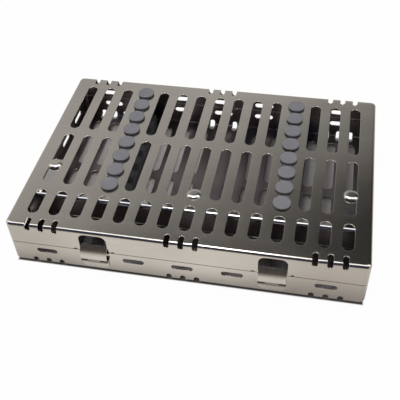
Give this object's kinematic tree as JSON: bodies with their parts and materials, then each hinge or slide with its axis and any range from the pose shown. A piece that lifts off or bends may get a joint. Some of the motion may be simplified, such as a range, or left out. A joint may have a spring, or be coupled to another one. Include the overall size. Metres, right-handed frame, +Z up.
{
  "type": "sterilization cassette",
  "caption": "Hinged perforated steel cassette with silicone instrument rails, a divider strip and front latches, for holding instruments through washing and steam sterilization.",
  "frame": {"origin": "centre of the cassette's footprint, on the surface that the silicone feet stand on", "axes": "+X along the length, to the right when the latches face the viewer; -Y towards the latches; +Z up"},
  "size_m": [0.28, 0.2021, 0.0478],
  "materials": {
    "tray_steel": "satin",
    "divider_steel": "satin",
    "hinge_steel": "satin",
    "latch_steel": "satin",
    "rivet_steel": "polished",
    "pin_steel": "polished",
    "silicone": "matte"
  },
  "bodies": {
    "base": {"base_tray": "tray_steel", "base_rail_left": "silicone", "base_rail_right": "silicone", "base_divider": "divider_steel", "base_divider_rivets": "rivet_steel", "latch_leaf_left": "latch_steel", "latch_leaf_right": "latch_steel", "latch_pin_left": "pin_steel", "latch_pin_right": "pin_steel", "base_hinge_leaf_left": "hinge_steel", "base_hinge_leaf_right": "hinge_steel", "hinge_pin_left": "pin_steel", "hinge_pin_right": "pin_steel"},
    "lid": {"lid_tray": "tray_steel", "lid_rail_left": "silicone", "lid_rail_right": "silicone", "lid_divider": "divider_steel", "lid_divider_rivets": "rivet_steel", "lid_hinge_leaf_left": "hinge_steel", "lid_hinge_leaf_right": "hinge_steel"},
    "latch_left": {"latch_plate_left": "latch_steel"},
    "latch_right": {"latch_plate_right": "latch_steel"}
  },
  "joints": [
    {"name": "lid_hinge", "type": "hinge", "parent": "base", "child": "lid", "pos_m": [0, 0.0992, 0.0245], "axis": [-1, 0, 0], "range_deg": [0, 180]},
    {"name": "left_latch_pivot", "type": "hinge", "parent": "base", "child": "latch_left", "pos_m": [-0.06975, -0.0992, 0.016], "axis": [1, 0, 0], "range_deg": [0, 120]},
    {"name": "right_latch_pivot", "type": "hinge", "parent": "base", "child": "latch_right", "pos_m": [0.06975, -0.0992, 0.016], "axis": [1, 0, 0], "range_deg": [0, 120]}
  ]
}
